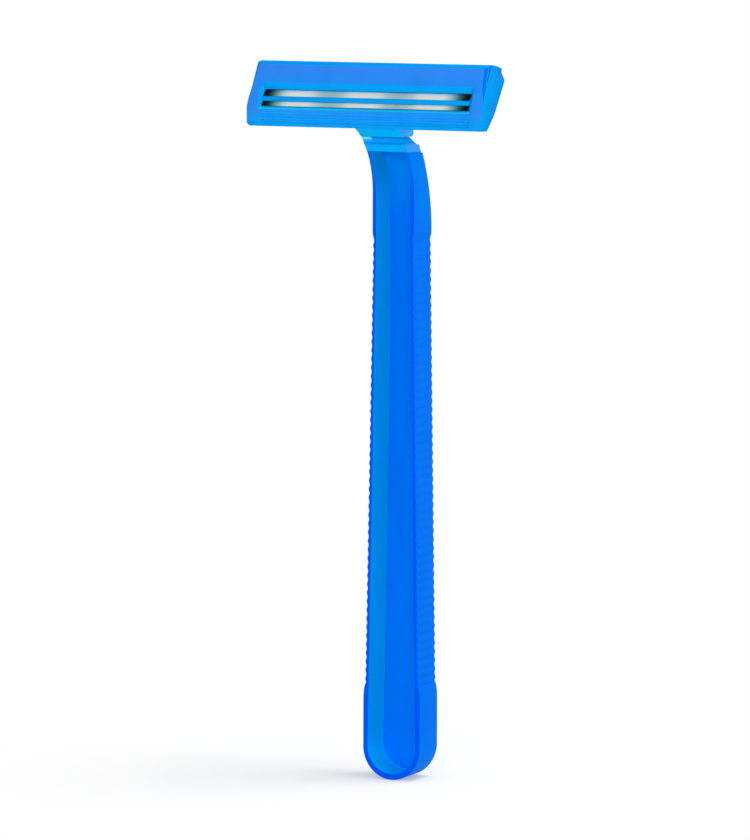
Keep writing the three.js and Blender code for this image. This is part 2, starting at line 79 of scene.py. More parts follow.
SHOULDER_LEDGE = 0.8
BAND_LENGTH = 1.8
BAND_PROUD = 0.1
TENON_LENGTH = 3.6
TENON_THICKNESS = 0.9
TENON_SIDE_SHOULDER = 1.4
TENON_FRONT_SHOULDER = 0.7

# The fillets that the moulding has and the source leaves out
RIM_OUTER_ROUND = 0.1
RIM_INNER_ROUND = 0.08
FLOOR_ROUND = 0.4
NECK_FLOOR_ROUND = 0.85
BACK_ROUND = 0.12
BUTT_BACK_ROUND = 0.6
TENON_ROUND = 0.1

# How finely the handle is divided, how far below the ledge a level lies, and which edges look smooth
BUTT_STEPS = 36
BUTT_LEVELS = 10
SHOULDER_LEVELS = 14
RIB_STEPS = 10
NECK_ENTRY_LEVELS = 8
NECK_LEVELS = 10
BEND_LEVELS = 22
BAND_LEVELS = 8
TONGUE_LEVELS = 8
SIDE_STEPS = 5
ROUND_STEPS = 4
LEDGE_MARGIN = 0.1
SMOOTH_ANGLE = math.radians(38)

# Heights between which the handle's tints and rounds change
BUTT_TINT = (3, 9)
BUTT_BACK = (1, 6)
NECK_TINT = (88, 101)
RIM_TINT = (96, 102)
WALL_TINT = (96, 103)
FLOOR_TINT = (92, 101)
FLOOR_NECK_TINT = (101.5, 103.5)
SOFT_FLOOR = (98, 103)

# The tongue above the band: where it lightens to the left, its edges darkened with painted shade, and the
# painted glint
TONGUE_LIGHT = (0.5, 3.5)
TONGUE_LOW_EDGE = 0.25
TONGUE_HIGH_EDGE = 0.35
GLINT_END = 2.0
GLINT_BLUR = 0.3
GLINT_FALL = (0.15, 0.55)

# Steps of the handle's back at the neck
BELOW_LEDGE, ON_LEDGE, ABOVE_LEDGE = range(3)

# Zones round a section of the handle, mixed in between, and those over which the band's tint turns
ON_BACK, ON_SIDE, ON_RIM, ON_WALL, ON_WALL_FOOT, ON_FLOOR, ON_FLOOR_EDGE = range(-1, 6)
BAND_TURN = (0.2, 0.8)


def ramp(low, high, value):
    return min(max((value - low) / (high - low), 0.0), 1.0)


def smooth(low, high, value):
    share = ramp(low, high, value)
    return share * share * (3.0 - 2.0 * share)


def linear(red, green, blue):
    def one(c):
        c /= 255.0
        return c / 12.92 if c <= 0.04045 else ((c + 0.055) / 1.055) ** 2.4
    return Vector((one(red), one(green), one(blue)))


# Tints of the handle's plastic, with painted light and shade in the channel, and painted reflection, shade
# and glint about the band and tongue
SIDE = linear(0, 111, 231)
SIDE_NECK = linear(0, 121, 228)
SIDE_BUTT = linear(0, 121, 230)
RIM = linear(0, 83, 232)
# Painted shade: near the channel's top the left rim is darker than the right
SHADED_RIM_TOP_LEFT = linear(0, 104, 205)
RIM_TOP_RIGHT = linear(0, 108, 228)
# Painted light: the walls are lighter than the side to offset the channel's shade, most at their foot
WALL = linear(0, 158, 238)
WALL_DEEP = linear(0, 191, 242)
# Painted shade: the walls darken towards the channel's top
SHADED_WALL_TOP = linear(0, 140, 216)
SHADED_WALL_TOP_DEEP = linear(0, 162, 217)
# Painted light: the walls lighter still at the butt, and the floor lighter to offset the channel's shade
WALL_BUTT = linear(0, 176, 255)
WALL_BUTT_DEEP = linear(0, 204, 255)
FLOOR = linear(0, 123, 237)
FLOOR_TOP = linear(0, 139, 235)
FLOOR_NECK = linear(0, 131, 231)
# Painted shade where the floor meets the wall near the channel's top
SHADED_FLOOR_EDGE = linear(0, 134, 213)
# Painted light on the floor at the butt
FLOOR_BUTT = linear(0, 133, 248)
# The band's sides and back carry a painted violet reflection
BAND = linear(6, 162, 238)
BAND_SIDE_REFLECTION = linear(61, 151, 232)
# The tongue's edges carry painted shade and its upper left a painted glint
TONGUE = linear(2, 145, 229)
TONGUE_LEFT = linear(12, 170, 245)
SHADED_TONGUE_EDGE = linear(0, 112, 218)
TONGUE_PAINTED_GLINT = linear(110, 228, 252)

# How much painted light lifts the ribs' undersides against their shade, and the painted highlight on their
# crests, at the lowest and the highest rib
UNDERSIDE_PAINTED_LIGHT_LOW = Vector((0.0, 0.031, 0.033))
UNDERSIDE_PAINTED_LIGHT_HIGH = Vector((0.0, 0.045, 0.046))
CREST_PAINTED_HIGHLIGHT_LOW = Vector((0.0, 0.054, 0.017))
CREST_PAINTED_HIGHLIGHT_HIGH = Vector((0.0, 0.02, 0.012))

lowest_valley = LOWEST_RIB - RIB_PITCH / 2
highest_rib = LOWEST_RIB + (RIB_COUNT - 1) * RIB_PITCH
highest_valley = highest_rib + RIB_PITCH / 2
butt_top = lowest_valley - BUTT_SHOULDER
neck_half = GRIP_HALF_HIGH + NECK_PROUD
channel_top = FRONT_BEND_START + CHANNEL_RUNOUT
neck_turn = math.radians(NECK_ANGLE)
neck_top = FRONT_BEND_START + FRONT_BEND_RADIUS * math.sin(neck_turn)
back_turn = math.radians(BACK_BEND_ANGLE)
back_start = FRONT_BEND_START - BACK_BEND_LEAD
ledge_low = back_start + BACK_BEND_RADIUS * math.sin(back_turn)
ledge_low_y = HANDLE_DEPTH - BACK_BEND_RADIUS * (1 - math.cos(back_turn))
ledge_high = ledge_low + SHOULDER_LENGTH * math.cos(back_turn)
ledge_high_y = ledge_low_y - SHOULDER_STEP - SHOULDER_LENGTH * math.sin(back_turn)
floor_bend_radius = BACK_BEND_RADIUS - BACK_WALL
floor_end = back_start + floor_bend_radius * math.sin(back_turn)
floor_end_y = HANDLE_DEPTH - BACK_BEND_RADIUS + floor_bend_radius * math.cos(back_turn)
neck_end_y = FRONT_BEND_RADIUS * (math.cos(neck_turn) - 1)
neck_end_back_y = neck_end_y + NECK_THICKNESS / math.cos(neck_turn)
band_top_turn = math.asin(CHANNEL_RUNOUT / FRONT_BEND_RADIUS) + BAND_LENGTH / FRONT_BEND_RADIUS
band_top = FRONT_BEND_START + FRONT_BEND_RADIUS * math.sin(band_top_turn)


def on_arc(radius, rise):
    return math.sqrt(max(radius * radius - rise * rise, 0.0)) - radius


def grip_half(z):
    share = (z - LOWEST_RIB) / (highest_rib - LOWEST_RIB)
    return GRIP_HALF_LOW + (GRIP_HALF_HIGH - GRIP_HALF_LOW) * share


def outer_half(z):
    valley_half = grip_half(lowest_valley) - RIB_DEPTH
    if z <= butt_top:
        return BUTT_HALF
    if z <= lowest_valley:
        share = (z - butt_top) / BUTT_SHOULDER
        return valley_half + (BUTT_HALF - valley_half) * math.sqrt(max(1 - share * share, 0.0))
    if z <= highest_valley:
        wave = math.cos(2 * math.pi * (z - lowest_valley) / RIB_PITCH)
        return grip_half(z) - RIB_DEPTH * (1 + wave) / 2
    top_half = grip_half(highest_valley) - RIB_DEPTH
    return top_half + (neck_half - top_half) * smooth(highest_valley, highest_valley + RIB_PITCH, z)


def inner_half(z):
    low = BUTT_HALF - BUTT_WALL
    high = neck_half - NECK_WALL
    share = min((z - BUTT_ROUND) / (highest_valley - BUTT_ROUND), 1.0)
    return low + (high - low) * share


def front_y(z, band):
    if z <= FRONT_BEND_START:
        return 0.0
    proud = BAND_PROUD if band else 0.0
    return on_arc(FRONT_BEND_RADIUS, z - FRONT_BEND_START) - proud


# The back's depth at a height, on one of its three steps.
def back_y(z, step):
    if step == BELOW_LEDGE:
        if z <= back_start:
            return HANDLE_DEPTH
        return HANDLE_DEPTH + on_arc(BACK_BEND_RADIUS, z - back_start)
    if step == ON_LEDGE:
        return ledge_low_y - SHOULDER_STEP - (z - ledge_low) * math.tan(back_turn)
    start = ledge_high_y - SHOULDER_LEDGE
    return start + (neck_end_back_y - start) * (z - ledge_high) / (neck_top - ledge_high)


def floor_y(z):
    floor = HANDLE_DEPTH - BACK_WALL
    if z <= FRONT_BEND_START - FLOOR_BEND_LEAD:
        return floor
    slow = floor + on_arc(FLOOR_BEND_RADIUS, z - FRONT_BEND_START + FLOOR_BEND_LEAD)
    if z <= back_start:
        return slow
    if z <= floor_end:
        return min(slow, floor + on_arc(floor_bend_radius, z - back_start))
    if z >= channel_top:
        return front_y(z, False)
    share = (z - floor_end) / (channel_top - floor_end)
    return floor_end_y + (front_y(channel_top, False) - floor_end_y) * share


def spread(low, high, count):
    return [low + (high - low) * i / count for i in range(count)]


# Levels up the handle as (z, back step, band) above the round of the butt.
def levels():
    plain = spread(BUTT_ROUND, butt_top, BUTT_LEVELS)
    plain += [butt_top + BUTT_SHOULDER * math.sin(math.radians(a)) for a in spread(0, 90, SHOULDER_LEVELS)]
    plain += spread(lowest_valley, highest_valley, RIB_COUNT * RIB_STEPS)
    plain += spread(highest_valley, highest_valley + RIB_PITCH, NECK_ENTRY_LEVELS)
    plain += spread(highest_valley + RIB_PITCH, FRONT_BEND_START, NECK_LEVELS)
    plain += spread(FRONT_BEND_START, floor_end, BEND_LEVELS)
    plain += [floor_end, ledge_low - LEDGE_MARGIN, ledge_low]
    made = [(z, BELOW_LEDGE, False) for z in plain]
    made += [(z, ON_LEDGE, False) for z in (ledge_low, (ledge_low + channel_top) / 2, channel_top)]
    made += [(z, ON_LEDGE, True) for z in spread(channel_top, ledge_high, BAND_LEVELS) + [ledge_high]]
    made += [(z, ABOVE_LEDGE, True) for z in (ledge_high, band_top)]
    made += [(z, ABOVE_LEDGE, False) for z in spread(band_top, neck_top, TONGUE_LEVELS) + [neck_top]]
    return made


# Painted light on the ribs: their undersides are painted lighter to offset their shade, and their crests get
# a painted highlight.
def rib_painted_light(z):
    if not lowest_valley <= z <= highest_valley:
        return Vector((0, 0, 0))
    turn = 2 * math.pi * (z - lowest_valley) / RIB_PITCH
    share = (z - lowest_valley) / (highest_valley - lowest_valley)
    underside = UNDERSIDE_PAINTED_LIGHT_LOW.lerp(UNDERSIDE_PAINTED_LIGHT_HIGH, share) * math.sin(turn)
    return underside - CREST_PAINTED_HIGHLIGHT_LOW.lerp(CREST_PAINTED_HIGHLIGHT_HIGH, share) * math.cos(turn)


# The tint at a zone of the handle's section, at a width and a height, with painted light in the channel and
# on the ribs and painted shade at the channel's top.
def handle_tint(zone, x, z):
    butt = 1 - smooth(*BUTT_TINT, z)
    top = smooth(*WALL_TINT, z)
    floor = FLOOR.lerp(FLOOR_BUTT, butt).lerp(FLOOR_TOP, smooth(*FLOOR_TINT, z))
    tints = {
        ON_SIDE: SIDE.lerp(SIDE_BUTT, butt).lerp(SIDE_NECK, smooth(*NECK_TINT, z)),
        # Painted shade: near the top the left rim is darker than the right
        ON_RIM: RIM.lerp(SHADED_RIM_TOP_LEFT if x < 0 else RIM_TOP_RIGHT, smooth(*RIM_TINT, z)),
        ON_WALL: WALL.lerp(WALL_BUTT, butt).lerp(SHADED_WALL_TOP, top),
        ON_WALL_FOOT: WALL_DEEP.lerp(WALL_BUTT_DEEP, butt).lerp(SHADED_WALL_TOP_DEEP, top),
        ON_FLOOR: floor.lerp(FLOOR_NECK, smooth(*FLOOR_NECK_TINT, z)),
        ON_FLOOR_EDGE: SHADED_FLOOR_EDGE,
    }
    low = min(max(int(zone), ON_SIDE), ON_FLOOR)
    plain = tints[low].lerp(tints[low + 1], max(zone - low, 0.0))
    lift = rib_painted_light(z) * max(1 - abs(zone), 0.0)
    return plain + Vector(c * share for c, share in zip(plain, lift))


# Above the band: painted shade along its two edges, lighter to the left, with a painted glint at the left of
# the upper one.
def tongue_tint(x, z):
    middle = TONGUE.lerp(TONGUE_LEFT, smooth(*TONGUE_LIGHT, -x))
    low_edge = 1 - smooth(0.0, TONGUE_LOW_EDGE, z - band_top)
    high_edge = 1 - smooth(0.0, TONGUE_HIGH_EDGE, neck_top - z)
    at_left = smooth(GLINT_END - GLINT_BLUR, GLINT_END + GLINT_BLUR, -x)
    glint = at_left * (1 - smooth(*GLINT_FALL, neck_top - z))
    return middle.lerp(SHADED_TONGUE_EDGE, max(low_edge, high_edge)).lerp(TONGUE_PAINTED_GLINT, glint)


# One side of the handle at one station: points from the back's edge round to the channel's floor, with zones.
def section(outer, inner, back, front, floor, back_round, soft):
    ox, oz = outer
    width = math.hypot(inner[0] - ox, inner[1] - oz)
    dx, dz = (inner[0] - ox) / width, (inner[1] - oz) / width
    height = max(floor - front, 0.0)
    inner_round = min(RIM_INNER_ROUND, height / 2)
    floor_round = min(FLOOR_ROUND + (NECK_FLOOR_ROUND - FLOOR_ROUND) * soft, height / 2)
    points = []

    def put(inward, y, zone):
        points.append(((ox + inward * dx, y, oz + inward * dz), zone))

    shares = [i / ROUND_STEPS for i in range(ROUND_STEPS + 1)]
    arc = [(share, 1 - math.sin(math.pi / 2 * share), 1 - math.cos(math.pi / 2 * share)) for share in shares]
    for share, less_sine, less_cosine in arc:
        put(back_round * less_sine, back - back_round * less_cosine, ON_BACK + share)
    side_low, side_high = back - back_round, front + RIM_OUTER_ROUND
    for i in range(1, SIDE_STEPS):
        put(0.0, side_low + (side_high - side_low) * i / SIDE_STEPS, ON_SIDE)
    for share, less_sine, less_cosine in arc:
        put(RIM_OUTER_ROUND * less_cosine, front + RIM_OUTER_ROUND * less_sine, ON_SIDE + share)
    for share, less_sine, less_cosine in arc:
        put(width - inner_round * less_sine, front + inner_round * less_cosine, ON_RIM + share)
    wall_low, wall_high = front + inner_round, floor - floor_round
    for i in range(1, SIDE_STEPS):
        put(width, wall_low + (wall_high - wall_low) * i / SIDE_STEPS, ON_WALL + i / SIDE_STEPS)
    for share, less_sine, less_cosine in arc:
        zone = ON_FLOOR + soft * (1 - share) if share else ON_WALL_FOOT
        put(width + floor_round * less_cosine, floor - floor_round * less_sine, zone)
    return points


# Stations of the handle as (outer point, inner point, back step, band), from the butt's lowest point up.
def handle_stations():
    made = []
    inner_width, inner_rise = BUTT_HALF - BUTT_WALL, BUTT_ROUND - BUTT_END_WALL
    for i in range(BUTT_STEPS):
        a = math.pi / 2 * i / BUTT_STEPS
        outer = (BUTT_HALF * math.sin(a), BUTT_ROUND * (1 - math.cos(a)))
        inner = (inner_width * math.sin(a), BUTT_ROUND - inner_rise * math.cos(a))
        made.append((outer, inner, BELOW_LEDGE, False))
    for z, step, band in levels():
        made.append(((outer_half(z), z), (inner_half(z), z), step, band))
    return made


# Rows of points up the right and the left of the handle, each point with its tint.
def handle_rows(bm, tint):
    sides = {1: [], -1: []}
    for outer, inner, step, band in handle_stations():
        z = outer[1]
        front = front_y(z, band)
        back_round = BACK_ROUND + (BUTT_BACK_ROUND - BACK_ROUND) * (1 - smooth(*BUTT_BACK, z))
        soft = smooth(*SOFT_FLOOR, z)
        points = section(outer, inner, back_y(z, step), front, max(floor_y(z), front), back_round, soft)
        for sign, rows in sides.items():
            row = []
            for (x, y, rise), zone in points:
                vert = bm.verts.new((sign * x * MM, (y + RIM_PLANE) * MM, rise * MM))
                colour = handle_tint(zone, sign * x, rise)
                # The band's sides and back carry a painted reflection
                if band:
                    colour = BAND.lerp(BAND_SIDE_REFLECTION, 1 - smooth(*BAND_TURN, zone))
                elif z > ledge_high:
                    colour = tongue_tint(sign * x, z)
                vert[tint] = (*colour, 1.0)
                row.append(vert)
            rows.append(row)
    return sides[1], sides[-1]


def handle():
    bm = bmesh.new()
    tint = bm.verts.layers.float_color.new("tint")
    right, left = handle_rows(bm, tint)
    for rows, order in ((right, 1), (left, -1)):
        for low, high in zip(rows, rows[1:]):
            for corners in zip(low, low[1:], high[1:], high):
                bm.faces.new(corners[::order])
    for r0, r1, l0, l1 in zip(right, right[1:], left, left[1:]):
        bm.faces.new((l0[0], r0[0], r1[0], l1[0]))
        bm.faces.new((r0[-1], l0[-1], l1[-1], r1[-1]))
    bm.faces.new(right[-1] + left[-1][::-1])
    bmesh.ops.remove_doubles(bm, verts=bm.verts, dist=WELD * MM)
    bmesh.ops.dissolve_degenerate(bm, edges=bm.edges, dist=WELD * MM)
    glint_columns(bm, tint)
    tenon(bm, tint)
    bmesh.ops.recalc_face_normals(bm, faces=bm.faces)
    return piece("razor_handle", bm, "handle")


# Cuts the tongue where the painted glint ends and tints the new points.
def glint_columns(bm, tint):
    for x in (GLINT_END - GLINT_BLUR, GLINT_END, GLINT_END + GLINT_BLUR):
        tongue = [f for f in bm.faces if f.calc_center_median().z > band_top * MM]
        edges = list({e for f in tongue for e in f.edges})
        verts = list({v for f in tongue for v in f.verts})
        around = tongue + edges + verts
        cut = bmesh.ops.bisect_plane(bm, geom=around, plane_co=(-x * MM, 0, 0), plane_no=(1, 0, 0))
        for made in cut["geom_cut"]:
            if isinstance(made, bmesh.types.BMVert):
                made[tint] = (*tongue_tint(made.co.x / MM, made.co.z / MM), 1.0)


# The tenon that goes into the head's collar, a rounded block along the neck.
def tenon(bm, tint):
    along = Vector((0, -math.sin(neck_turn), math.cos(neck_turn)))
    inward = Vector((0, math.cos(neck_turn), math.sin(neck_turn)))
    end = Vector((0, neck_end_y + RIM_PLANE, neck_top))
    half = neck_half - TENON_SIDE_SHOULDER
    ring = []
    for length in (-NECK_THICKNESS / 2, TENON_LENGTH):
        for depth in (TENON_FRONT_SHOULDER, TENON_FRONT_SHOULDER + TENON_THICKNESS):
            for x in (-half, half):
                spot = end + along * length + inward * depth + Vector((x, 0, 0))
                vert = bm.verts.new(spot * MM)
                vert[tint] = (*TONGUE, 1.0)
                ring.append(vert)
    made = bmesh.ops.convex_hull(bm, input=ring)
    edges = {e for f in made["geom"] if isinstance(f, bmesh.types.BMFace) for e in f.edges}
    sharp = [e for e in edges if e.calc_face_angle(0.0) > SHARP_ANGLE]
    round_off(bm, sharp, TENON_ROUND, EDGE_STEPS)


# Rounds edges with a radius in millimetres.
def round_off(bm, edges, radius, steps, clamp=False):
    bmesh.ops.bevel(bm, geom=edges, offset=radius * MM, segments=steps, profile=ROUND_PROFILE,
                    affect="EDGES", clamp_overlap=clamp)


# Makes an object of a mesh in place of a CAD node.
def piece(name, bm, node):
    mesh = bpy.data.meshes.new(name)
    bm.to_mesh(mesh)
    bm.free()
    mesh.polygons.foreach_set("use_smooth", [True] * len(mesh.polygons))
    mesh.set_sharp_from_angle(angle=SMOOTH_ANGLE)
    obj = bpy.data.objects.new(name, mesh)
    bpy.context.scene.collection.objects.link(obj)
    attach(obj, "root")
    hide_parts(node)
    return obj


# The head's places in millimetres: the top front corner of its face, and lines on the face and the ends
HEAD_CORNER = Vector((0.0, -6.1078, 119.2296))
FACE_LEAN = math.radians(24.0)
GUARD_TOP = 111.9
HEAD_FOOT = 108.66
WINDOW_HALF = 18.55
SEAM_LINE = WINDOW_HALF + 0.5
END_LINE = WINDOW_HALF + 1.0
CHEEK_LINE = 19.1
CHEEK_FOOT = 110.4
CAP_END_LINE = 20.1
COLLAR_TOP = HEAD_FOOT + 0.2
COLLAR_HALF = neck_half + 0.01
COLLAR_FRONT = -6.7
GUARD_LIMIT = GUARD_TOP + 0.2
LIP_FOOT = GUARD_TOP - 0.6
GROOVE_FOOT = HEAD_FOOT + 0.8
BACK_DEPTH = 2.2
SEAM_LOW = 4.849
SEAM_GAP = 0.2

# The bevel that runs on over the cheeks: three places as half width, way down the face and depth behind it
BEVEL_SPOTS = ((20.586, 4.649, 0.0), (20.93, 4.649, 0.25), (21.04, 6.5, 0.0))

# Rounds of the head's edges in millimetres, and what counts as flat, sharp, short, level or near
HEAD_ROUND = 0.06
SPACER_ROUND = 0.03
EDGE_STEPS = 2
CORNER_ROUND = 0.4
CORNER_STEPS = 4
ROUND_PROFILE = 0.5
FLAT_ANGLE = math.radians(0.3)
SHARP_ANGLE = math.radians(25)
SHORTEST_EDGE = 0.02
SLIVER = 0.001
ROUNDS_IN_EDGE = 4
LEVEL = 0.05
ON_PLANE = 0.02
NEAR_SEAM = 0.1
AT_TOP = 0.01

# Lengths over which the head's tints change: down the face, the cheeks and the guard, and back along the ends
FACE_FADE = 5.0
CHEEK_FADE = 2.2
GUARD_FADE = GUARD_TOP - HEAD_FOOT - 0.7
END_FADE = (0.5, 4.0)

# Parts of a face's unit normal from which it counts as turned one way or another
FACING = 0.94
UPWARD = 0.5
FORWARD = -0.2
STRAIGHT_FORWARD = -0.9
BACKWARD = 0.3
SIDEWAYS = 0.7
BEVELLED = 0.3
CORNER_TURN = 0.4
CAP_END_TURN = 0.1
CAP_END_UPWARD = 0.45
CAP_HIGHLIGHT_TURN = (0.6, 0.93)

# Tints of the head's plastic, with painted light, shade, highlights and reflections on some, and how much
# lighter the guard's grooves are painted to offset their shade
GROOVE_PAINTED_LIGHT = 1.18
# Painted reflection: the face's violet is strongest at its top and fades down it
FACE_TOP_REFLECTION = linear(52, 123, 228)
FACE_LOW = linear(19, 133, 228)
FACE_CHEEK = linear(36, 131, 230)
CHEEK = linear(48, 126, 232)
TOP_EDGE = linear(2, 143, 227)
SLOPE = linear(0, 154, 234)
# Painted light on the slope under the leading blade, offsetting the blade's shade
PAINTED_LIGHT_SLOPE = linear(20, 190, 250)
# Painted shade on the cap's right end, and a painted highlight along its edge
SHADED_CAP_END = linear(0, 104, 210)
CAP_EDGE_HIGHLIGHT = linear(55, 160, 252)
GUARD = linear(35, 136, 228)
TOE = linear(8, 149, 231)
END_FRONT = linear(0, 152, 228)
END_REAR = linear(0, 135, 225)
COLLAR = linear(0, 174, 241)
# Painted violet reflection on the collar's sides
COLLAR_SIDE_REFLECTION = linear(62, 168, 251)
BAR = linear(0, 152, 233)
HEAD_BACK = linear(0, 124, 234)

face_out = Vector((0, -math.cos(FACE_LEAN), math.sin(FACE_LEAN)))
face_down = Vector((0, -math.sin(FACE_LEAN), -math.cos(FACE_LEAN)))


def depth_of(spot):
    return (HEAD_CORNER - spot).dot(face_out)


def everything(bm):
    return list(bm.verts) + list(bm.edges) + list(bm.faces)


# Level edges where cap and platform meet on the cheeks stay sharp, so that the face runs on unbroken.
def on_seam(edge):
    first, second = (v.co / MM for v in edge.verts)
    middle = (first + second) / 2
    on_cheek = abs(middle.x) > SEAM_LINE and middle.z > GUARD_TOP
    return on_cheek and abs(first.z - second.z) < LEVEL


# The cheeks' upper edge on the face is drawn up to the cap's, so that the face runs on unbroken.
def close_seam(bm):
    for vert in bm.verts:
        offset = vert.co / MM - HEAD_CORNER
        on_face = abs(offset.dot(face_out)) < ON_PLANE and abs(offset.x) > WINDOW_HALF
        if on_face and abs(offset.dot(face_down) - SEAM_LOW) < NEAR_SEAM:
            vert.co -= face_down * SEAM_GAP * MM


# The bevel of the cap's ends runs on over the cheeks to a point.
def carry_bevel(bm):
    for side in (1, -1):
        seam, inner, point = (HEAD_CORNER + face_down * down - face_out * depth + Vector((side * half, 0, 0))
                              for half, down, depth in BEVEL_SPOTS)
        normal = (inner - seam).cross(point - seam).normalized()
        if normal.x * side < 0:
            normal.negate()
        cut = bmesh.ops.bisect_plane(bm, geom=everything(bm), plane_co=seam * MM, plane_no=normal,
                                     clear_outer=True)
        rim = [e for e in cut["geom_cut"] if isinstance(e, bmesh.types.BMEdge) and e.is_boundary]
        bmesh.ops.holes_fill(bm, edges=rim, sides=0)


# The cap's top corners are rounded.
def round_corners(bm):
    top = (HEAD_CORNER.z - AT_TOP) * MM
    corners = [e for e in bm.edges if all(v.co.z > top for v in e.verts)
               and any(abs(f.normal.x) > CORNER_TURN for f in e.link_faces)]
    round_off(bm, corners, CORNER_ROUND, CORNER_STEPS, True)


# Small rounds on the sharp edges, without slivers and within the node's own box.
def round_edges(bm, node, edge_round):
    bmesh.ops.dissolve_degenerate(bm, edges=bm.edges, dist=SHORTEST_EDGE * MM)
    sharp = [e for e in bm.edges if e.calc_face_angle(0.0) > SHARP_ANGLE
             and e.calc_length() > ROUNDS_IN_EDGE * edge_round * MM and not on_seam(e)]
    round_off(bm, sharp, edge_round, EDGE_STEPS)
    bmesh.ops.dissolve_degenerate(bm, edges=bm.edges, dist=SLIVER * MM)
    low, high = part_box(node)
    for vert in bm.verts:
        vert.co = [min(max(c, a), b) for c, a, b in zip(vert.co, low, high)]


# Cuts along which the tints of the cheeks and the guard part.
def part_cheeks(bm):
    for spot, normal in (((CHEEK_LINE, 0, 0), (1, 0, 0)), ((-CHEEK_LINE, 0, 0), (1, 0, 0)),
                         ((0, 0, CHEEK_FOOT), (0, 0, 1))):
        bmesh.ops.bisect_plane(bm, geom=everything(bm), plane_co=Vector(spot) * MM, plane_no=normal)


# A copy of a node with flat faces made whole, small rounds on its edges, and a tint at each corner.
def dressed(name, node, colour_of, edge_round):
    bm = bmesh.new()
    bm.from_mesh(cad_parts[node].data)
    bmesh.ops.remove_doubles(bm, verts=bm.verts, dist=WELD * MM)
    bmesh.ops.dissolve_limit(bm, angle_limit=FLAT_ANGLE, verts=bm.verts, edges=bm.edges)
    if node == "platform":
        close_seam(bm)
        carry_bevel(bm)
    if node == "cap":
        round_corners(bm)
    round_edges(bm, node, edge_round)
    if node == "platform":
        part_cheeks(bm)
    tint = bm.loops.layers.float_color.new("tint")
    for face in bm.faces:
        middle = face.calc_center_median() / MM
        for loop in face.loops:
            loop[tint] = (*colour_of(face.normal, middle, loop.vert.co / MM), 1.0)
    return piece(name, bm, node)


# Painted reflection: strongest at the top of the face, fading down it.
def face_tint(spot):
    return FACE_TOP_REFLECTION.lerp(FACE_LOW, ramp(0.0, FACE_FADE, (spot - HEAD_CORNER).dot(face_down)))


# The guard's ridges, the grooves between them painted lighter to offset their shade, and the lip above them.
def guard_tint(normal, middle, spot):
    if abs(middle.x) > CHEEK_LINE:
        return CHEEK.lerp(TOE, ramp(0.0, CHEEK_FADE, GUARD_TOP - spot.z))
    # The slope under the leading blade carries painted light that offsets the blade's shade.
    if normal.z > UPWARD and middle.z > LIP_FOOT:
        return PAINTED_LIGHT_SLOPE
    ridge = GUARD.lerp(TOE, ramp(0.0, GUARD_FADE, GUARD_TOP - spot.z))
    in_groove = normal.y > STRAIGHT_FORWARD and middle.z > GROOVE_FOOT
    return ridge * GROOVE_PAINTED_LIGHT if in_groove else ridge


# The tint at a corner of a face of each piece of the head, from the face's normal and middle and the corner.
def cap_tint(normal, middle, spot):
    # At the cap's ends: the left takes the face's tint, the right painted shade with a painted highlight
    # along its edge.
    if abs(middle.x) > CAP_END_LINE and abs(normal.x) > CAP_END_TURN:
        if normal.z > CAP_END_UPWARD:
            return TOP_EDGE
        if middle.x < 0:
            return face_tint(spot)
        return CAP_EDGE_HIGHLIGHT if CAP_HIGHLIGHT_TURN[0] < normal.x < CAP_HIGHLIGHT_TURN[1] else SHADED_CAP_END
    if normal.z > UPWARD:
        return TOP_EDGE
    if normal.dot(face_out) > FACING:
        return face_tint(spot)
    return HEAD_BACK if depth_of(middle) > BACK_DEPTH else SLOPE


def platform_tint(normal, middle, spot):
    sideways = abs(normal.x)
    if sideways > SIDEWAYS and abs(middle.x) > END_LINE:
        return END_FRONT.lerp(END_REAR, ramp(*END_FADE, depth_of(spot)))
    if normal.y > BACKWARD:
        return HEAD_BACK
    # Painted shade on the right end's bevel; the left takes the cheek's tint.
    if sideways > BEVELLED and abs(middle.x) > CAP_END_LINE and middle.z > GUARD_TOP:
        return SHADED_CAP_END if middle.x > 0 else FACE_CHEEK
    # The collar's sides carry a painted reflection
    if middle.z < COLLAR_TOP and abs(middle.x) < COLLAR_HALF and middle.y > COLLAR_FRONT:
        return COLLAR_SIDE_REFLECTION if sideways > SIDEWAYS else COLLAR
    if normal.dot(face_out) > FACING and middle.z > GUARD_TOP:
        return FACE_CHEEK if abs(middle.x) > WINDOW_HALF else face_tint(spot)
    if middle.z < GUARD_LIMIT and normal.y < FORWARD:
        return guard_tint(normal, middle, spot)
    if normal.z < -UPWARD:
        return TOE
    return HEAD_BACK if depth_of(middle) > BACK_DEPTH else SLOPE


def spacer_tint(normal, middle, spot):
    return BAR


# Moulded plastic: scales of the noise per metre, its ranges, and a gloss that keeps the plastic's blue
FLOW_STRETCH = (1.0, 1.0, 0.3)
CLOUD_SCALE = 320.0
CLOUD_DETAIL = 3.0
CLOUD_ROUGHNESS = 0.55
CLOUD_RANGE = (0.3, 0.7)
CLOUD_SHADE = (0.97, 1.03)
FINE_SCALE = 2600.0
FINE_DETAIL = 2.0
PLASTIC_ROUGHNESS = (0.3, 0.42)
FINE_STRENGTH = 0.05
FINE_HEIGHT = 0.00002
PLASTIC_SPECULAR = 0.003
PLASTIC_GLOSS = (0.0, 0.5, 1.0, 1.0)

# Strip steel: radians of painted reflection band per metre and at the middle, its colours, the painted dark
# ends' reach, the brushing
STEEL_BANDS = 516.0
STEEL_BAND_START = 0.145
STEEL_BAND_RANGE = (-1.1, 0.7)
STEEL_DIM_REFLECTION = (0.29, 0.47, 0.495, 1.0)
STEEL_BRIGHT_REFLECTION = (0.645, 0.685, 0.67, 1.0)
STEEL_END_REACH = (0.0138, 0.018)
BRUSH_STRETCH = (0.04, 1.0, 1.0)
BRUSH_SCALE = 9000.0
BRUSH_DETAIL = 2.0
STEEL_ROUGHNESS = (0.25, 0.4)

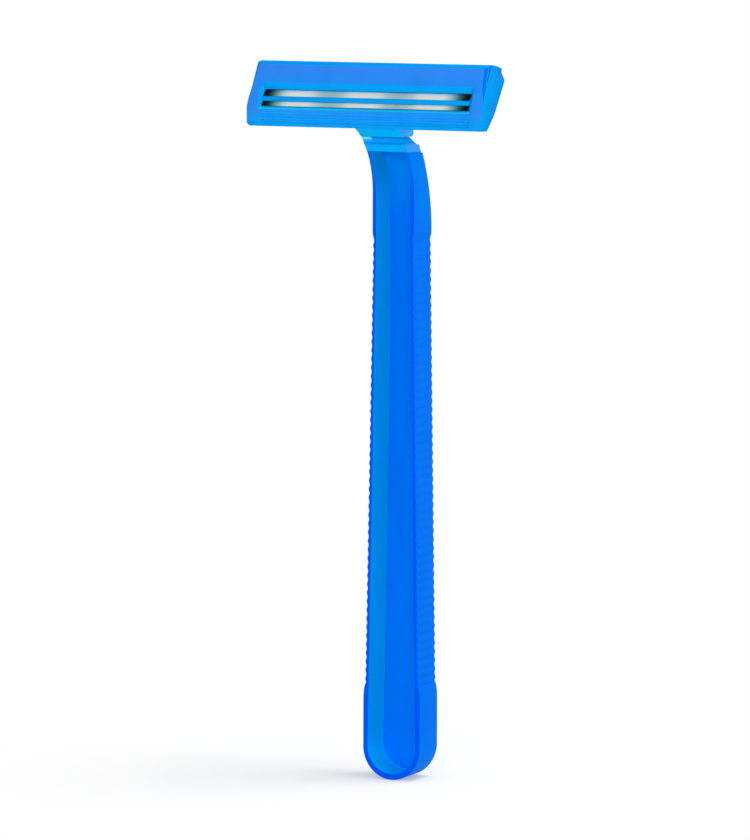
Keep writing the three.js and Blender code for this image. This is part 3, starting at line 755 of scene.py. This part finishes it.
# How painted shade darkens the steel towards a strip's end, from where the fade starts to where it is dark
STEEL_END_SHADE = ((0.0, (1.0, 1.0, 1.0)), (0.25, (0.73, 0.86, 0.86)), (0.48, (0.41, 0.6, 0.61)),
             (0.7, (0.09, 0.22, 0.24)), (0.88, (0.006, 0.04, 0.04)), (1.0, (0.001, 0.006, 0.006)))


# Sets an input to a value, or links it to another node's output.
def feed(tree, socket, value):
    if isinstance(value, bpy.types.NodeSocket):
        tree.links.new(value, socket)
    else:
        socket.default_value = value


def add(tree, kind, settings=(), **inputs):
    node = tree.nodes.new(kind)
    for key, value in dict(settings).items():
        setattr(node, key, value)
    for key, value in inputs.items():
        feed(tree, node.inputs[key.replace("_", " ")], value)
    return node


def computed(tree, operation, *values):
    node = add(tree, "ShaderNodeMath", {"operation": operation})
    for socket, value in zip(node.inputs, values):
        feed(tree, socket, value)
    return node.outputs[0]


def mapped(tree, value, source=(0.0, 1.0), result=(0.0, 1.0), kind="LINEAR"):
    node = add(tree, "ShaderNodeMapRange", {"interpolation_type": kind}, Value=value, From_Min=source[0],
               From_Max=source[1], To_Min=result[0], To_Max=result[1])
    return node.outputs["Result"]


def mixed(tree, blend, factor, a, b):
    node = add(tree, "ShaderNodeMix", {"data_type": "RGBA", "blend_type": blend})
    sockets = {s.identifier: s for s in node.inputs}
    feed(tree, sockets["Factor_Float"], factor)
    feed(tree, sockets["A_Color"], a)
    feed(tree, sockets["B_Color"], b)
    return next(s for s in node.outputs if s.identifier == "Result_Color")


def new_material(name):
    material = bpy.data.materials.new(name)
    material.use_nodes = True
    tree = material.node_tree
    return material, tree, tree.nodes["Principled BSDF"].inputs


# Moulded plastic: a tinted body, its tints carrying painted light, shade and reflections, faintly clouded
# along the flow, with a soft gloss.
def plastic(name):
    material, tree, shader = new_material(name)
    place = add(tree, "ShaderNodeTexCoord").outputs["Object"]
    tint = add(tree, "ShaderNodeVertexColor", {"layer_name": "tint"}).outputs["Color"]
    flow = add(tree, "ShaderNodeMapping", Vector=place, Scale=FLOW_STRETCH).outputs["Vector"]
    cloud = add(tree, "ShaderNodeTexNoise", Vector=flow, Scale=CLOUD_SCALE, Detail=CLOUD_DETAIL,
                Roughness=CLOUD_ROUGHNESS)
    shade = mapped(tree, cloud.outputs["Fac"], CLOUD_RANGE, CLOUD_SHADE)
    feed(tree, shader["Base Color"], mixed(tree, "MULTIPLY", 1.0, tint, shade))
    fine = add(tree, "ShaderNodeTexNoise", Vector=place, Scale=FINE_SCALE, Detail=FINE_DETAIL).outputs["Fac"]
    feed(tree, shader["Roughness"], mapped(tree, fine, result=PLASTIC_ROUGHNESS))
    bump = add(tree, "ShaderNodeBump", Height=fine, Strength=FINE_STRENGTH, Distance=FINE_HEIGHT)
    feed(tree, shader["Normal"], bump.outputs["Normal"])
    shader["Specular IOR Level"].default_value = PLASTIC_SPECULAR
    shader["Specular Tint"].default_value = PLASTIC_GLOSS
    return material


# Strip steel: painted reflections as soft bright and dim bands along it, and painted shade at its ends where
# the slot shades it.
def steel(name):
    material, tree, shader = new_material(name)
    place = add(tree, "ShaderNodeTexCoord").outputs["Object"]
    x = add(tree, "ShaderNodeSeparateXYZ", Vector=place).outputs["X"]
    wave = computed(tree, "COSINE", computed(tree, "MULTIPLY_ADD", x, STEEL_BANDS, STEEL_BAND_START))
    share = mapped(tree, wave, STEEL_BAND_RANGE, kind="SMOOTHSTEP")
    bright = mixed(tree, "MIX", share, STEEL_DIM_REFLECTION, STEEL_BRIGHT_REFLECTION)
    near_end = mapped(tree, computed(tree, "ABSOLUTE", x), STEEL_END_REACH)
    shade = add(tree, "ShaderNodeValToRGB", Fac=near_end)
    stops = shade.color_ramp.elements
    for along, _ in STEEL_END_SHADE[1:-1]:
        stops.new(along)
    for stop, (along, fade) in zip(stops, STEEL_END_SHADE):
        stop.position = along
        stop.color = (*fade, 1.0)
    feed(tree, shader["Base Color"], mixed(tree, "MULTIPLY", 1.0, bright, shade.outputs["Color"]))
    grain = add(tree, "ShaderNodeMapping", Vector=place, Scale=BRUSH_STRETCH).outputs["Vector"]
    brushed = add(tree, "ShaderNodeTexNoise", Vector=grain, Scale=BRUSH_SCALE, Detail=BRUSH_DETAIL)
    feed(tree, shader["Roughness"], mapped(tree, brushed.outputs["Fac"], result=STEEL_ROUGHNESS))
    shader["Metallic"].default_value = 1.0
    return material


blue = plastic("moulded_blue")
metal = steel("strip_steel")

razor_handle = handle()
razor_platform = dressed("razor_platform", "platform", platform_tint, HEAD_ROUND)
razor_cap = dressed("razor_cap", "cap", cap_tint, HEAD_ROUND)
razor_spacer = dressed("razor_spacer", "blade_spacer", spacer_tint, SPACER_ROUND)
for made in (razor_handle, razor_platform, razor_cap, razor_spacer):
    made.data.materials.append(blue)
for name in ("leading_blade", "trailing_blade"):
    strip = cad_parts[name]
    strip.data.materials.clear()
    strip.data.materials.append(metal)

# Camera: azimuth, elevation and roll in degrees, distances in millimetres, focal length in photograph pixels
AZIMUTH = 25.1799
ELEVATION = 5.9438
ROLL = 0.1919
DISTANCE = 900.1074
FOCAL_PIXELS = 5456.2549
ACROSS = -2.8809
HEIGHT = 60.1112
FRAME_WIDTH = 750
SENSOR_WIDTH = 36.0
CLIP_START = 0.01
CLIP_END = 100.0

# Stage in metres: its half width, its white for light and for the eye, and the plain white over its shadow
STAGE_HALF = 6.0
STAGE_WHITE = (0.92, 0.99)
SHADOW_REACH = (0.03, 0.074)
SHADOW_WHITE = (0.37, 1.0)

# Light from all round, and three lamps: places and sizes in metres, power in watts
ROUND_LIGHT = 0.56
WHITE = (1.0, 1.0, 1.0, 1.0)
LAMP_TARGET = Vector((0, 0, 0.06))
LAMP_RISE = Vector((0, 0, 0.03))
LAMP_SIZE = (0.4, 0.4)
KEY_DISTANCE = 0.85
KEY_LEFT = 0.1
KEY_POWER = 2.6
FILL_DISTANCE = 0.75
FILL_RIGHT = 0.5
FILL_POWER = 0.9
FOOT = Vector((0, 0, 0))
SIDE_LAMP_RIGHT = 0.294
SIDE_LAMP_NEAR = 0.05
SIDE_LAMP_RISE = Vector((0, 0, 0.808))
SIDE_LAMP_SIZE = (0.42, 0.5)
SIDE_LAMP_POWER = 3.4

az, el, roll = (math.radians(a) for a in (AZIMUTH, ELEVATION, ROLL))
view_back = Vector((math.sin(az) * math.cos(el), -math.cos(az) * math.cos(el), math.sin(el)))
near = Vector((view_back.x, view_back.y, 0)).normalized()
flat = Vector((math.cos(az), math.sin(az), 0))
up = view_back.cross(flat)
view_right = flat * math.cos(roll) + up * math.sin(roll)
view_up = up * math.cos(roll) - flat * math.sin(roll)


def camera():
    data = bpy.data.cameras.new("camera")
    data.sensor_fit = "HORIZONTAL"
    data.sensor_width = SENSOR_WIDTH
    data.lens = FOCAL_PIXELS * SENSOR_WIDTH / FRAME_WIDTH
    data.clip_start = CLIP_START
    data.clip_end = CLIP_END
    obj = bpy.data.objects.new("camera", data)
    bpy.context.scene.collection.objects.link(obj)
    place = (Vector((0, RIM_PLANE, HEIGHT)) + flat * ACROSS + view_back * DISTANCE) * MM
    turn = Matrix((view_right, view_up, view_back)).transposed()
    obj.matrix_world = Matrix.Translation(place) @ turn.to_4x4()
    bpy.context.scene.camera = obj


# 1 for rays from the camera, and for those that show the background in gloss or glass.
def seen_rays(tree):
    path = add(tree, "ShaderNodeLightPath").outputs
    clear = computed(tree, "MAXIMUM", path["Is Glossy Ray"], path["Is Transmission Ray"])
    return computed(tree, "MAXIMUM", path["Is Camera Ray"], clear)


# A white floor that keeps the razor's shadow near the foot.
def floor_material():
    material = bpy.data.materials.new("floor")
    material.use_nodes = True
    tree = material.node_tree
    tree.nodes.clear()
    seen = seen_rays(tree)
    lit = add(tree, "ShaderNodeBsdfDiffuse", Color=mapped(tree, seen, result=STAGE_WHITE))
    plain = add(tree, "ShaderNodeEmission", Color=WHITE, Strength=1.0)
    place = add(tree, "ShaderNodeTexCoord").outputs["Object"]
    away = add(tree, "ShaderNodeVectorMath", {"operation": "LENGTH"}, Vector=place).outputs["Value"]
    share = mapped(tree, away, SHADOW_REACH, SHADOW_WHITE, "SMOOTHSTEP")
    mix = add(tree, "ShaderNodeMixShader", Fac=computed(tree, "MULTIPLY", seen, share))
    feed(tree, mix.inputs[1], lit.outputs["BSDF"])
    feed(tree, mix.inputs[2], plain.outputs["Emission"])
    add(tree, "ShaderNodeOutputMaterial", Surface=mix.outputs["Shader"])
    return material


def stage_floor():
    bm = bmesh.new()
    bmesh.ops.create_grid(bm, x_segments=1, y_segments=1, size=STAGE_HALF)
    mesh = bpy.data.meshes.new("floor")
    bm.to_mesh(mesh)
    bm.free()
    mesh.materials.append(floor_material())
    floor = bpy.data.objects.new("floor", mesh)
    bpy.context.scene.collection.objects.link(floor)


def backdrop():
    world = bpy.data.worlds.new("studio")
    bpy.context.scene.world = world
    world.use_nodes = True
    tree = world.node_tree
    ground = tree.nodes["Background"].inputs
    ground["Color"].default_value = WHITE
    feed(tree, ground["Strength"], mapped(tree, seen_rays(tree), result=(ROUND_LIGHT, 1.0)))


def lamp(name, place, target, size, power):
    data = bpy.data.lights.new(name, "AREA")
    data.shape = "ELLIPSE"
    data.size, data.size_y = size
    data.energy = power
    obj = bpy.data.objects.new(name, data)
    bpy.context.scene.collection.objects.link(obj)
    obj.location = place
    obj.rotation_euler = (target - place).to_track_quat("-Z", "Y").to_euler()


camera()
stage_floor()
backdrop()
key = LAMP_TARGET + view_back * KEY_DISTANCE - flat * KEY_LEFT + LAMP_RISE
fill = LAMP_TARGET + view_back * FILL_DISTANCE + flat * FILL_RIGHT + LAMP_RISE
side = FOOT + flat * SIDE_LAMP_RIGHT + near * SIDE_LAMP_NEAR + SIDE_LAMP_RISE
lamp("key", key, LAMP_TARGET, LAMP_SIZE, KEY_POWER)
lamp("fill", fill, LAMP_TARGET, LAMP_SIZE, FILL_POWER)
lamp("side", side, FOOT, SIDE_LAMP_SIZE, SIDE_LAMP_POWER)

bpy.context.scene.view_settings.view_transform = "Standard"
